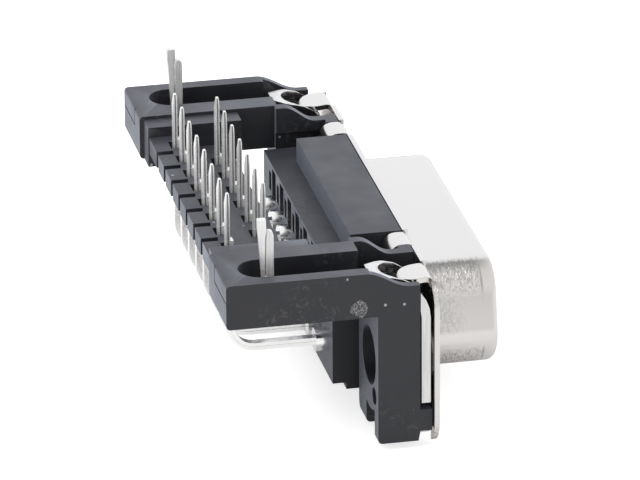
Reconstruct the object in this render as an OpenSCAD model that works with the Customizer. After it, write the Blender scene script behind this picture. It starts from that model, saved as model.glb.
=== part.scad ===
// Right-angle board-mount D-sub connector, 15 contacts, female, with bracket, grounding straps
// and board locks. Millimetres. X runs along the connector, -Y is the mating direction and
// +Z points at the board that the tails go into. The origin is midway between the two flange
// holes, on the front face of the shell's flange.

/* [Shell] */
// Distance between the two flange holes
hole_spacing = 33.3; // [30:0.1:40]
// Diameter of each flange hole
flange_hole_d = 3.05; // [2.5:0.05:3.5]
// Length of the flange
flange_w = 39.14; // [37:0.02:44]
// Height of the flange
flange_h = 12.5; // [11.5:0.1:14]
// Corner radius of the flange
flange_corner_r = 2.2; // [0.5:0.1:3]
// Thickness of the drawn sheet
sheet_t = 0.38; // [0.3:0.02:0.6]
// Width of the D on its wide side
shroud_w = 24.66; // [20:0.02:28]
// Height of the D
shroud_h = 7.9; // [7:0.1:9]
// Slant of the two ends of the D, in degrees
shroud_angle = 10; // [5:1:15]
// Corner radius of the D
shroud_corner_r = 2.6; // [2:0.1:3.2]
// How far the D stands out from the flange
shroud_depth = 6.02; // [5:0.02:7]
// Radius of the fillet where the D meets the flange
root_r = 0.6; // [0.3:0.1:1]
// Outside radius of the rolled lip
lip_r = 0.7; // [0.5:0.05:1]
// Length of the flat part of the rolled lip
lip_turn = 0.2; // [0.1:0.05:0.4]

/* [Shell tabs] */
// Width of the tabs that hold the straps
outer_tab_w = 2.6; // [2:0.1:2.8]
// Straight length of the tabs that hold the straps
outer_tab_len = 1.2; // [0.8:0.1:1.4]
// Width of the tabs that hook over the insulator
inner_tab_w = 2.3; // [2:0.1:3.4]
// Distance of the insulator tabs from the middle
inner_tab_x = 10.7; // [10:0.1:11.5]
// Height at which the lower strap tabs are folded back
lower_tab_z = 5.6; // [5:0.05:5.7]
// Straight length of the lower strap tabs
lower_tab_len = 1.0; // [0.4:0.05:1.6]
// Inside radius of the folds
fold_r = 0.25; // [0.2:0.05:0.4]
// Width of the relief notches beside each tab
relief_w = 0.3; // [0.2:0.05:0.5]

/* [Insulator] */
// Length of the insulator plate behind the flange
plate_w = 25.4; // [24:0.1:25.5]
// Height of the insulator plate
plate_h = 10.8; // [10:0.1:11]
// Thickness of the insulator plate
plate_t = 1.15; // [0.8:0.05:1.2]
// Length of the rear block
block_w = 24.0; // [22:0.1:24.4]
// Rear face of the rear block
block_rear_y = 6.08; // [5.6:0.02:6.6]
// Top of the rear block
block_top_z = 4.45; // [4:0.05:4.8]
// Length of the bridge on top of the rear block
bridge_w = 18.6; // [16:0.1:18.8]
// Top of the bridge
bridge_top_z = 6.25; // [5.8:0.05:6.4]
// Rear face of the bridge
bridge_rear_y = 4.18; // [3.6:0.02:4.6]

/* [Bracket] */
// Length of the bracket over its two arms
bracket_w = 38.4; // [38:0.1:39]
// Board seat, the top of the arms
seat_z = 7.42; // [7.2:0.02:7.8]
// Underside of the arms
arm_bottom_z = 4.1; // [3.8:0.1:4.4]
// Rear end of the arms
arm_rear_y = 15.13; // [14.9:0.01:16]
// Front face of the bracket, behind the straps
bracket_front_y = 1.33; // [1.3:0.01:1.5]
// Bottom of the legs
leg_bottom_z = -5.65; // [-6:0.05:-5.4]
// Rear face of the legs
leg_rear_y = 4.35; // [4:0.05:4.6]
// Diameter of the bore through each leg
leg_bore_d = 4.3; // [3.6:0.1:4.6]
// Width of the slot in each arm
slot_w = 3.15; // [2.8:0.05:3.3]
// Rear end of the slot in each arm
slot_rear_y = 13.74; // [13.4:0.02:14]
// Top of the comb behind the rear row of tails
comb_top_z = 6.4; // [6.2:0.05:6.6]
// Rear face of the comb
comb_rear_y = 14.72; // [14.6:0.02:15]
// Top of the shelf around the front row of tails
shelf_top_z = 5.4; // [5.2:0.05:5.6]
// Front edge of the shelf
shelf_front_y = 8.88; // [8.6:0.02:9.1]
// Width of the notches between the teeth
notch_w = 0.65; // [0.4:0.05:0.9]

/* [Contacts] */
// Distance from one contact to the next in a row
pitch = 2.77; // [2.6:0.01:2.9]
// Distance between the two rows
row_gap = 2.84; // [2.6:0.02:3]
// Tail position of the upper row
front_tail_y = 10.28; // [10.2:0.02:10.5]
// Tail position of the lower row
rear_tail_y = 13.14; // [13:0.01:13.3]
// Thickness of a folded contact strip
rod_t = 0.55; // [0.4:0.05:0.7]
// Width of a folded contact strip
rod_w = 0.65; // [0.5:0.05:0.8]
// Outside radius of the contact bends
rod_bend_r = 2.0; // [1.5:0.1:2.4]
// Width of a tail
tail_w = 0.62; // [0.4:0.02:0.7]
// Thickness of a tail
tail_t = 0.3; // [0.2:0.02:0.4]
// Tip of the tails
tail_tip_z = 10.41; // [9.6:0.01:11]
// Outside diameter of the barrel that holds the contact
barrel_d = 1.7; // [1.5:0.05:1.8]
// How far the barrel stands out behind the insulator
barrel_out = 0.85; // [0.5:0.05:1.1]
// Outside diameter of the socket tube
tube_d = 1.6; // [1.4:0.05:1.7]
// Bore of the socket tube
tube_bore_d = 1.05; // [0.95:0.05:1.15]

/* [Straps and board locks] */
// Thickness of the strap sheet
strap_t = 0.65; // [0.4:0.05:0.75]
// Width of the strap where it bends over the bracket
strap_w = 3.2; // [3.1:0.05:3.4]
// Width of the strap's leaf between the flange and the leg
leaf_w = 4.7; // [4.4:0.05:4.9]
// Outside radius of the strap's bend
strap_bend_r = 2.95; // [2.6:0.05:3.1]
// Turn of the strap's bend, in degrees
strap_turn = 82; // [78:1:86]
// Diameter of the hole in the strap's top
strap_eye_d = 2.9; // [2.7:0.05:2.9]
// Thickness of the board lock strip
lock_t = 0.5; // [0.4:0.05:0.7]
// Tip of the board locks
lock_tip_z = 11.2; // [10.6:0.1:12]

/* [Clearances] */
// Gap between the insulator and the shell around the D
plug_gap = 0.05; // [0.02:0.01:0.1]
// Gap all round a contact in its bore
contact_gap = 0.02; // [0.01:0.01:0.05]
// Gap between a strip and the hole it goes through
strip_gap = 0.04; // [0.02:0.01:0.08]
// Gap between the strap and the tab that reaches into it
tab_gap = 0.06; // [0.04:0.01:0.1]
// Gap between a shell tab and the bracket beside it
slot_gap = 0.05; // [0.03:0.01:0.1]
// Gap between the flange and what stands behind it
flange_gap = 0.09; // [0.05:0.01:0.12]
// Gap between the insulator and the bracket round it
seat_gap = 0.05; // [0.03:0.01:0.1]

/* [Hidden] */

steel_colour = [0.82, 0.82, 0.80];
strap_colour = [0.86, 0.86, 0.85];
brass_colour = [0.80, 0.79, 0.76];
plastic_colour = [0.13, 0.13, 0.14];

eps = 0.01;
far = 30;
curve_fn = 64;
bend_step = 15;
corner_step = 10;
hole_x = hole_spacing / 2;
row_z = row_gap / 2;
strap_bend_z = 3.62;

// Hole spacing that the lengths of the flange and the bracket are given for. Their ends keep
// their distance from the holes.
base_spacing = 33.3;
end_shift = (hole_spacing - base_spacing) / 2;
flange_len = flange_w + 2 * end_shift;

// Corner centres of the D, shared by every ring of it
wide_x = shroud_w / 2 - shroud_corner_r;
half_z = shroud_h / 2 - shroud_corner_r;
narrow_x = wide_x - 2 * half_z * tan(shroud_angle);

// Flange and tabs
tab_bend_r = fold_r + sheet_t;
tab_slope = 6;
outer_tab_curl = 30;
outer_tab_curl_r = 0.7;
outer_tab_curl_out = 0.6;
tab_lap = 0.1;
root_lap = 0.25;
hook_r = 0.6;
hook_straight = 0.36;
hook_tail = 0.15;

// Insulator
plug_front_y = -shroud_depth + lip_r;
plug_face_y = -shroud_depth + 0.1;
plate_rear_y = sheet_t + plate_t;
bore_d = barrel_d + 2 * contact_gap;
block_bottom_z = -3.95;
block_step_z = -4.45;
block_step_y = 5.08;
bridge_front_y = sheet_t + flange_gap;
window_front_y = 4.53;
upper_window_w = 1.3;
upper_window_z = [2.1, 4.18];
lower_window_w = 0.7;
lower_window_z = [2.2, 3.65];
entry_d = 1.25;
entry_wall = 0.45;
entry_cone = 0.25;

// Bracket
arm_out_x = bracket_w / 2 + end_shift;
arm_in_x = 13.1;
wall_t = 0.65;
wall_in_x = 13.3;
wall_out_x = arm_out_x - wall_t;
wall_lap = 0.2;
inner_wall_x = plate_w / 2 + seat_gap;
inner_top_x = 12.45;
recess_rear_y = 4.83;
recess_floor_z = strap_bend_z + 0.68;
low_wall_z = 6.25;
outer_fall = [1.98, 5.23];
inner_fall = [2.08, 4.43];
ear_in_x = inner_tab_x + inner_tab_w / 2 + slot_gap;
ear_front_y = sheet_t + flange_gap;
ear_bottom_z = plate_h / 2 + seat_gap;
saddle_gap = 0.06;
saddle_r = strap_bend_r - strap_t - saddle_gap;
saddle_half_w = 1.75;
saddle_pocket_d = 2.7;
saddle_pocket_z = recess_floor_z + 0.3;
edge_r = 0.3;
slot_x = hole_x - 0.15;
slot_floor_z = 5.2;
shoulder_x = 11.45;
shoulder_top_z = seat_z - 0.25;
shoulder_front_y = 7.83;
shoulder_rear_y = 14.8;
shoulder_lap = 0.2;

// Legs
leg_in_x = 12.85;
leg_inner_r = 0.9;
leg_boss_r = 3.95;
leg_bore_x = hole_x - 0.4;
leg_slot_half = outer_tab_w / 2 + slot_gap;
leg_slot_top_z = -3;
leg_taper = 0.12;
leg_taper_z = -5;
leg_lap = 0.2;
relief_hole_x = leg_bore_x + 1.65;
relief_hole_z = -2.5;
relief_hole_d = 1.3;
relief_hole_y = 2.43;
lip_in_x = 14.0;
lip_top_z = -3.3;
lip_bottom_z = tab_bend_r - lower_tab_z + slot_gap;

// Comb
beam_front_y = 12.43;
beam_bottom_z = 5.15;
shelf_bottom_z = 4.15;
shelf_lap = 0.4;
notch_front_y = 13.48;
groove_w = 0.12;
groove_d = 0.12;
groove_z = seat_z - 1.4;
groove_in_x = 15.0;
groove_end = 0.1;

// Contacts
seam_w = 0.07;
seam_in = 0.08;
layer_t = (rod_t - seam_w) / 2;
rod_lap = 0.3;
tube_front_y = plug_face_y + entry_wall;
tube_bottom_y = 0.6;
slit_w = 0.25;
slit_len = 3.4;
crimp_y = block_rear_y + barrel_out;
tail_shoulder = 0.5;
tip_len = 0.8;
tip_w = 0.34;
tip_t = 0.17;
tip_in = 0.03;
tip_round = 0.2;
mouth_w = 1.3;
mouth_back = 0.25;

// Straps and locks
strap_front_y = 0.53;
strap_bottom_z = -2.87;
strap_tip_y = 4.63;
strap_tip_w = 1.3;
strap_end_len = 1.35;
strap_end_round = 0.55;
strap_end_share = 0.84;
strap_bore_d = 3.6;
strap_eye_y = 2.33;
strap_eye_z = 4.6;
strap_notch_z = flange_h / 2 - sheet_t - 0.3;
leaf_rear_y = bracket_front_y - 0.08;
lock_front_y = 11.25;
lock_rear_y = 12.38;
lock_base_out = 0.25;
lock_base_top = 0.5;
lock_split_z = 6.95;
lock_neck = 0.28;
front_prong_w = 0.56;
rear_prong_w = 0.22;

// ---------- shared shapes ----------

// A profile drawn as (y, z), given a width along x
module across(width) {
  rotate([90, 0, 90])
    linear_extrude(height = width, center = true) children();
}

// A profile drawn as (x, z), given a depth from y0 to y1
module along(y0, y1) {
  translate([0, y1, 0])
    rotate([90, 0, 0])
      linear_extrude(height = y1 - y0) children();
}

// A round bar along y
module bar_y(d, y0, y1) {
  translate([0, y1, 0])
    rotate([90, 0, 0])
      cylinder(d = d, h = y1 - y0, $fn = curve_fn);
}

module box(x0, x1, y0, y1, z0, z1) {
  translate([x0, y0, z0])
    cube([x1 - x0, y1 - y0, z1 - z0]);
}

// A strip's line goes through states of [x, y, heading]. Each step of its path is
// [straight length, bend radius, turn]; a positive turn is to the left.
function after_run(s, len) = [s[0] + len * cos(s[2]), s[1] + len * sin(s[2]), s[2]];

function after_bend(s, r, a) =
  let (k = a < 0 ? -1 : 1, x = s[0] - k * r * sin(s[2]), y = s[1] + k * r * cos(s[2]))
  [x + k * r * sin(s[2] + a), y - k * r * cos(s[2] + a), s[2] + a];

function line_states(path, s, i = 0) =
  i == len(path) ? [s] :
  let (step = path[i], s1 = after_run(s, step[0]), n = ceil(abs(step[2]) / bend_step))
  concat(
    [s],
    [for (k = [0:1:n - 1]) after_bend(s1, step[1], step[2] * k / n)],
    line_states(path, after_bend(s1, step[1], step[2]), i + 1)
  );

function beside(s, off) = [s[0] - off * sin(s[2]), s[1] + off * cos(s[2])];

// Outline of the strip between two distances to the left of its line
function strip_outline(start, path, lo, hi) =
  let (states = line_states(path, start), last = len(states) - 1)
  concat(
    [for (s = states) beside(s, lo)],
    [for (i = [0:last]) beside(states[last - i], hi)]
  );

module strip(start, path, lo, hi) {
  polygon(strip_outline(start, path, lo, hi));
}

// ---------- the D ----------

// The D as a flat shape, for any radius about its four corner centres
module d_shape(r) {
  hull() {
    for (s = [-1, 1]) {
      translate([s * wide_x, -half_z]) circle(r = r, $fn = curve_fn);
      translate([s * narrow_x, half_z]) circle(r = r, $fn = curve_fn);
    }
  }
}

// Stations round the D, as [corner centre x, corner centre z, direction], one corner at a time
function corner_stations(x, z, from, to) =
  let (n = ceil((to - from) / corner_step))
  [for (k = [0:n]) [x, z, from + (to - from) * k / n]];

d_stations = concat(
  corner_stations(wide_x, -half_z, -90, shroud_angle),
  corner_stations(narrow_x, half_z, shroud_angle, 90),
  corner_stations(-narrow_x, half_z, 90, 180 - shroud_angle),
  corner_stations(-wide_x, -half_z, 180 - shroud_angle, 270)
);

// Section of the wall as one bent strip, drawn as (distance from a corner centre, distance
// forward): flange side, root fillet, straight wall, rolled lip
wall_outline = strip_outline([shroud_corner_r + root_r + root_lap, 0, 180], [
  [root_lap, root_r, -90],
  [shroud_depth - root_r - lip_r, lip_r, 90],
  [lip_turn, 0, 0]
], 0, sheet_t);

// Carries the section round the D, so that fillet, wall and lip follow it without a seam
module d_wall() {
  n = len(d_stations);
  m = len(wall_outline);
  points = [
    for (s = d_stations, p = wall_outline)
      [s[0] + p[0] * cos(s[2]), -p[1], s[1] + p[0] * sin(s[2])]
  ];
  faces = [
    for (i = [0:n - 1], j = [0:m - 1])
      let (i2 = (i + 1) % n, j2 = (j + 1) % m)
      [i * m + j, i * m + j2, i2 * m + j2, i2 * m + j]
  ];
  polyhedron(points = points, faces = faces, convexity = 6);
}

// ---------- shell ----------

module flange_outline() {
  x = flange_len / 2 - flange_corner_r;
  z = flange_h / 2 - flange_corner_r;
  hull() {
    for (sx = [-1, 1], sz = [-1, 1])
      translate([sx * x, sz * z]) circle(r = flange_corner_r, $fn = curve_fn);
  }
}

// Clears the flange's edge for one tab, from height z0 outward
module tab_cut(x, width, z0) {
  translate([x - width / 2 - relief_w, z0])
    square([width + 2 * relief_w, far]);
}

module flange() {
  tab_root = flange_h / 2 - tab_bend_r;
  lower_root = lower_tab_z - tab_bend_r;
  along(0, sheet_t)
    difference() {
      flange_outline();
      d_shape(shroud_corner_r + root_r + root_lap / 2);
      for (s = [-1, 1]) {
        translate([s * hole_x, 0]) circle(d = flange_hole_d, $fn = curve_fn);
        tab_cut(s * hole_x, outer_tab_w, tab_root);
        tab_cut(s * inner_tab_x, inner_tab_w, tab_root);
        mirror([0, 1]) {
          tab_cut(s * hole_x, outer_tab_w, lower_root);
          tab_cut(s * inner_tab_x, inner_tab_w, tab_root);
        }
      }
    }
}

// A tab's line starts inside the flange, on its rear face, and heads up
module tab(root_z, steps) {
  strip([sheet_t, root_z - tab_lap, 90], steps, 0, sheet_t);
}

// Outer tab: over the strap, then down into the strap's eye, with a round end
module outer_tab() {
  end_r = outer_tab_w / 2;
  end_y = tab_bend_r + outer_tab_len + outer_tab_curl_out;
  intersection() {
    across(outer_tab_w)
      tab(flange_h / 2 - tab_bend_r, [
        [tab_lap, fold_r, -90 - tab_slope],
        [outer_tab_len, outer_tab_curl_r, -outer_tab_curl],
        [0.1, 0, 0]
      ]);
    union() {
      box(-end_r, end_r, -1, end_y - end_r, 0, far);
      translate([0, end_y - end_r, 0])
        cylinder(r = end_r, h = far, $fn = curve_fn);
    }
  }
}

// Inner tab: hooks over the edge of the insulator plate
module inner_tab() {
  across(inner_tab_w)
    tab(flange_h / 2 - tab_bend_r, [
      [tab_lap, fold_r, -90],
      [hook_straight, hook_r, -90],
      [hook_tail, 0, 0]
    ]);
}

// Lower tab: folded back under the lip of the bracket's leg, into the slot of the leg
module lower_tab() {
  across(outer_tab_w)
    tab(lower_tab_z - tab_bend_r, [[tab_lap, fold_r, -90], [lower_tab_len, 0, 0]]);
}

module shell() {
  color(steel_colour)
    union() {
      flange();
      d_wall();
      for (s = [-1, 1]) {
        translate([s * hole_x, 0, 0]) outer_tab();
        translate([s * hole_x, 0, 0]) mirror([0, 0, 1]) lower_tab();
        translate([s * inner_tab_x, 0, 0]) inner_tab();
        translate([s * inner_tab_x, 0, 0]) mirror([0, 0, 1]) inner_tab();
      }
    }
}

// ---------- insulator ----------

// Positions of the contacts: the wide side of the D has one more than the narrow side
function lower_x(k) = (k - 3.5) * pitch;
function upper_x(k) = (k - 3) * pitch;

module each_contact() {
  for (k = [0:7]) translate([lower_x(k), 0, -row_z]) children();
  for (k = [0:6]) translate([upper_x(k), 0, row_z]) children();
}

module front_insulator() {
  color(plastic_colour)
    difference() {
      union() {
        along(plug_front_y, sheet_t + eps)
          d_shape(shroud_corner_r - sheet_t - plug_gap);
        along(plug_face_y, plug_front_y + eps)
          d_shape(shroud_corner_r - lip_r - lip_turn - plug_gap);
        along(sheet_t, plate_rear_y)
          square([plate_w, plate_h], center = true);
      }
      each_contact() {
        bar_y(bore_d, tube_front_y - contact_gap, plate_rear_y + 1);
        bar_y(entry_d, plug_face_y - 1, tube_front_y);
        translate([0, plug_face_y - eps, 0])
          rotate([-90, 0, 0])
            cylinder(d1 = entry_d + 2 * entry_cone, d2 = entry_d, h = entry_cone, $fn = curve_fn);
      }
    }
}

// Windows in the rear face, one over each contact
module insulator_windows() {
  for (k = [0:6]) translate([upper_x(k), 0, 0]) window(upper_window_w, upper_window_z);
  for (k = [0:7]) translate([lower_x(k), 0, 0]) window(lower_window_w, lower_window_z);
}

module window(width, z) {
  box(-width / 2, width / 2, window_front_y, far, z[0], z[1]);
}

module rear_insulator() {
  half = block_w / 2;
  color(plastic_colour)
    difference() {
      union() {
        box(-half, half, plate_rear_y, block_rear_y, block_bottom_z, block_top_z);
        box(-half, half, plate_rear_y, block_step_y, block_step_z, block_top_z);
        box(-bridge_w / 2, bridge_w / 2, bridge_front_y, bridge_rear_y, plate_h / 2, bridge_top_z);
        box(-bridge_w / 2, bridge_w / 2, plate_rear_y, bridge_rear_y, 0, bridge_top_z);
      }
      each_contact() bar_y(bore_d, 0, far);
      insulator_windows();
    }
}

// ---------- bracket ----------

// Top of the arm's walls in front of the board seat: a smooth fall from y1 down to y0
function fall(y, y0, y1, z0, z1) =
  z0 + (z1 - z0) * (1 - cos(180 * max(0, min(1, (y - y0) / (y1 - y0))))) / 2;

module fall_cut(ends, z0) {
  steps = 14;
  y0 = ends[0];
  y1 = ends[1];
  polygon(concat(
    [[y1, seat_z + 1], [-1, seat_z + 1], [-1, z0]],
    [for (k = [0:steps]) let (y = y0 + (y1 - y0) * k / steps) [y, fall(y, y0, y1, z0, seat_z)]]
  ));
}

module arm_solid() {
  y1 = arm_rear_y - edge_r;
  across(arm_out_x - arm_in_x)
    hull() {
      translate([y1, seat_z - edge_r]) circle(r = edge_r, $fn = 32);
      translate([y1, arm_bottom_z + edge_r]) circle(r = edge_r, $fn = 32);
      translate([bracket_front_y, arm_bottom_z]) square([1, seat_z - arm_bottom_z]);
    }
}

// The slot runs back from the recess and ends in a half round
module arm_slot() {
  end_y = slot_rear_y - slot_w / 2;
  translate([0, 0, slot_floor_z]) {
    translate([slot_x - slot_w / 2, recess_rear_y - 1, 0])
      cube([slot_w, end_y - recess_rear_y + 1, far]);
    translate([slot_x, end_y, 0])
      cylinder(d = slot_w, h = far, $fn = curve_fn);
  }
}

// Rounded block that the strap bends over
module saddle() {
  y0 = strap_front_y + strap_bend_r;
  difference() {
    translate([hole_x, 0, 0])
      across(2 * saddle_half_w)
        intersection() {
          union() {
            translate([y0, strap_bend_z]) circle(r = saddle_r, $fn = curve_fn);
            translate([y0, strap_bend_z]) square([recess_rear_y - y0 + wall_lap, saddle_r]);
          }
          translate([bracket_front_y, recess_floor_z - wall_lap])
            square([recess_rear_y + wall_lap - bracket_front_y, far]);
        }
    translate([hole_x, strap_eye_y, saddle_pocket_z])
      cylinder(d = saddle_pocket_d, h = far, $fn = curve_fn);
  }
}

// The leg from the rear: rounded lower corners, and a slot below the boss for the shell's tab
module leg_outline() {
  z1 = arm_bottom_z + leg_lap;
  difference() {
    hull() {
      translate([leg_in_x, 0]) square([arm_out_x - leg_in_x, z1]);
      translate([leg_in_x + leg_inner_r, leg_bottom_z + leg_inner_r])
        circle(r = leg_inner_r, $fn = curve_fn);
      translate([arm_out_x - edge_r, leg_bottom_z]) square([edge_r, edge_r]);
    }
    difference() {
      translate([hole_x - leg_slot_half, -far])
        square([2 * leg_slot_half, far + leg_slot_top_z]);
      translate([leg_bore_x, 0]) circle(r = leg_boss_r, $fn = curve_fn);
    }
  }
}

// The leg from the side: rounded behind, with a slight taper in front
module leg_profile() {
  y0 = bracket_front_y;
  hull() {
    translate([leg_rear_y - edge_r, leg_bottom_z + edge_r]) circle(r = edge_r, $fn = 32);
    translate([y0 + leg_taper, leg_bottom_z]) square([edge_r, edge_r]);
    translate([y0, leg_taper_z]) square([leg_rear_y - y0, far]);
  }
}

module leg_solid() {
  intersection() {
    along(bracket_front_y, leg_rear_y) leg_outline();
    translate([arm_out_x, 0, 0]) across(far) leg_profile();
  }
}

// Lip between the leg and the flange, between the strap's end and the shell's lower tab
module leg_lip() {
  box(lip_in_x, arm_out_x, ear_front_y, bracket_front_y + eps, lip_bottom_z, lip_top_z);
}

// Inner wall of the recess, with an ear in front that lies on the insulator plate's end
module inner_wall() {
  rear = recess_rear_y + wall_lap;
  box(inner_wall_x, wall_in_x, ear_front_y, rear, arm_bottom_z, low_wall_z);
  box(inner_wall_x, wall_in_x, bracket_front_y, rear, arm_bottom_z, seat_z);
  box(inner_top_x, wall_in_x, bracket_front_y, rear, ear_bottom_z, seat_z);
  box(ear_in_x, wall_in_x, ear_front_y, bracket_front_y + eps, ear_bottom_z, low_wall_z);
}

// Everything on one side of the bracket
module bracket_side() {
  difference() {
    union() {
      translate([(arm_in_x + arm_out_x) / 2, 0, 0]) arm_solid();
      inner_wall();
      box(shoulder_x, wall_in_x, shoulder_front_y, shoulder_rear_y,
          arm_bottom_z, shoulder_top_z);
      leg_solid();
    }
    translate([slot_x + far / 2, 0, 0]) across(far) fall_cut(outer_fall, low_wall_z);
    translate([slot_x - far / 2, 0, 0]) across(far) fall_cut(inner_fall, low_wall_z);
    box(wall_in_x, wall_out_x, -1, recess_rear_y, recess_floor_z, far);
    arm_slot();
    lock_hole();
    translate([leg_bore_x, 0, 0]) bar_y(leg_bore_d, -1, leg_rear_y + 1);
    translate([relief_hole_x, 0, relief_hole_z])
      bar_y(relief_hole_d, relief_hole_y, leg_rear_y + 1);
    rear_groove();
  }
  saddle();
  leg_lip();
}

// Hole through the slot's floor that the board lock stands in
module lock_hole() {
  translate([hole_x, 0, 0])
    box(-lock_t / 2 - strip_gap, lock_t / 2 + strip_gap,
        lock_front_y - lock_base_out - strip_gap, lock_rear_y + lock_base_out + strip_gap,
        0, far);
}

// Thin parting groove on the rear end of an arm
module rear_groove() {
  y0 = arm_rear_y - groove_d;
  box(groove_in_x, arm_out_x - groove_end, y0, far, groove_z, groove_z + groove_w);
  box(groove_in_x, groove_in_x + groove_w, y0, far, groove_z, far);
}

module comb() {
  reach = shoulder_x + shoulder_lap;
  difference() {
    union() {
      box(-reach, reach, beam_front_y, comb_rear_y, beam_bottom_z, comb_top_z);
      box(-reach, reach, shelf_front_y, beam_front_y + shelf_lap, shelf_bottom_z, shelf_top_z);
    }
    for (k = [0:6])
      translate([upper_x(k), 0, 0])
        box(-notch_w / 2, notch_w / 2, notch_front_y, far, 0, far);
    for (k = [0:7]) translate([lower_x(k), 0, 0]) tail_mouth(rear_tail_y);
    for (k = [0:6]) translate([upper_x(k), 0, 0]) tail_mouth(front_tail_y);
  }
}

// Opening around one tail: snug in front of the strip, open behind it
module tail_mouth(tail_y) {
  rear = tail_y + tail_t / 2;
  box(-mouth_w / 2, mouth_w / 2, rear - rod_t - strip_gap, rear + mouth_back, 0, far);
}

module bracket() {
  color(plastic_colour)
    union() {
      bracket_side();
      mirror([1, 0, 0]) bracket_side();
      comb();
    }
}

// ---------- straps ----------

module strap_profile() {
  flat = (strap_tip_y - strap_front_y - strap_bend_r * (1 - cos(strap_turn))) / sin(strap_turn);
  strip([strap_front_y + strap_t, strap_bottom_z, 90], [
    [strap_bend_z - strap_bottom_z, strap_bend_r - strap_t, -strap_turn],
    [flat, 0, 0]
  ], 0, strap_t);
}

// Outline of the strap from above: a wide leaf in front of the leg, then straight sides and a
// round end cut off blunt
module strap_plan() {
  half = strap_w / 2;
  start = strap_tip_y - strap_end_len;
  mid = start + strap_end_round;
  share = half * strap_end_share;
  tip = strap_tip_w / 2;
  translate([-leaf_w / 2, -1]) square([leaf_w, leaf_rear_y + 1]);
  polygon([
    [-half, -1], [half, -1], [half, start], [share, mid], [tip, strap_tip_y + 0.1],
    [-tip, strap_tip_y + 0.1], [-share, mid], [-half, start]
  ]);
}

module ground_strap() {
  notch_half = outer_tab_w / 2 + tab_gap;
  color(strap_colour)
    translate([hole_x, 0, 0])
      difference() {
        intersection() {
          across(leaf_w) strap_profile();
          translate([0, 0, -far / 2]) linear_extrude(height = far) strap_plan();
        }
        bar_y(strap_bore_d, -1, leaf_rear_y + 1);
        translate([0, strap_eye_y, strap_eye_z])
          cylinder(d = strap_eye_d, h = far, $fn = curve_fn);
        box(-notch_half, notch_half, -1, strap_eye_y, strap_notch_z, far);
      }
}

// ---------- board locks ----------

// A base across the slot's floor and a stem that splits into two prongs with barbed ends
module lock_profile() {
  y0 = lock_front_y;
  y1 = lock_rear_y;
  top = lock_tip_z;
  foot = lock_split_z - eps;
  translate([y0 - lock_base_out, arm_bottom_z])
    square([y1 - y0 + 2 * lock_base_out, slot_floor_z + lock_base_top - arm_bottom_z]);
  translate([y0, slot_floor_z])
    square([y1 - y0 - lock_neck, lock_split_z - slot_floor_z]);
  polygon([
    [y0, foot], [y0 + front_prong_w, foot], [y0 + front_prong_w - 0.03, top - 1.6],
    [y0 + 0.47, top - 1.1], [y0 + 0.38, top - 0.85], [y0 + 0.08, top - 0.95], [y0, top - 1.2]
  ]);
  polygon([
    [y1 - lock_neck - rear_prong_w, foot], [y1 - lock_neck, foot], [y1 - 0.06, top - 1.3],
    [y1, top - 0.75], [y1, top], [y1 - 0.6, top], [y1 - 0.62, top - 0.8], [y1 - 0.54, top - 1.2]
  ]);
}

module board_lock() {
  color(strap_colour)
    translate([hole_x, 0, 0])
      across(lock_t) lock_profile();
}

// ---------- contacts ----------

// One layer of the folded strip, from inside the barrel up to its shoulder beside the tail,
// between two distances from the middle of the strip
module rod_layer(tail_y, z0, lo, hi) {
  mid_y = tail_y + tail_t / 2 - rod_t / 2;
  mid_r = rod_bend_r - rod_t / 2;
  start_y = crimp_y - rod_lap;
  top_z = (z0 < 0 ? comb_top_z : shelf_top_z) + tail_shoulder;
  strip([start_y, z0, 0], [
    [mid_y - mid_r - start_y, mid_r, 90],
    [top_z - z0 - mid_r, 0, 0]
  ], lo, hi);
}

// The two outer layers at full width, and the seam between them set in a little
module rod(tail_y, z0) {
  half = rod_t / 2;
  across(rod_w) rod_layer(tail_y, z0, -half, -half + layer_t);
  across(rod_w) rod_layer(tail_y, z0, half - layer_t, half);
  across(rod_w - 2 * seam_in) rod_layer(tail_y, z0, -half + layer_t, half - layer_t);
}

// Tail: a flat blade with a chisel tip, tapered both ways
module tail(tail_y, z0) {
  foot = (z0 < 0 ? comb_top_z : shelf_top_z) + tail_shoulder - 0.1;
  neck = tail_tip_z - tip_len;
  intersection() {
    along(tail_y - tail_t / 2, tail_y + tail_t / 2)
      polygon([
        [-tail_w / 2, foot], [tail_w / 2, foot], [tail_w / 2, neck],
        [tip_w / 2, tail_tip_z], [-tip_w / 2, tail_tip_z], [-tail_w / 2, neck]
      ]);
    across(tail_w)
      translate([tail_y - tail_t / 2, 0])
        polygon([
          [0, foot], [tail_t, foot], [tail_t, neck],
          [tip_t + tip_in, tail_tip_z], [tip_in, tail_tip_z], [0, tail_tip_z - tip_round]
        ]);
  }
}

// Socket tube in front, with a slit and a spring bore, and the barrel behind it
module socket(z0) {
  translate([0, 0, z0])
    difference() {
      union() {
        bar_y(tube_d, tube_front_y, tube_bottom_y + 1);
        bar_y(barrel_d, tube_bottom_y, crimp_y);
      }
      bar_y(tube_bore_d, tube_front_y - 1, tube_bottom_y);
      box(-slit_w / 2, slit_w / 2, tube_front_y - 1, tube_front_y + slit_len, 0, tube_d);
    }
}

module contact(x, z0, tail_y) {
  color(brass_colour)
    translate([x, 0, 0])
      union() {
        socket(z0);
        rod(tail_y, z0);
        tail(tail_y, z0);
      }
}

module lower_contact(k) {
  contact(lower_x(k), -row_z, rear_tail_y);
}

module upper_contact(k) {
  contact(upper_x(k), row_z, front_tail_y);
}

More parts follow.
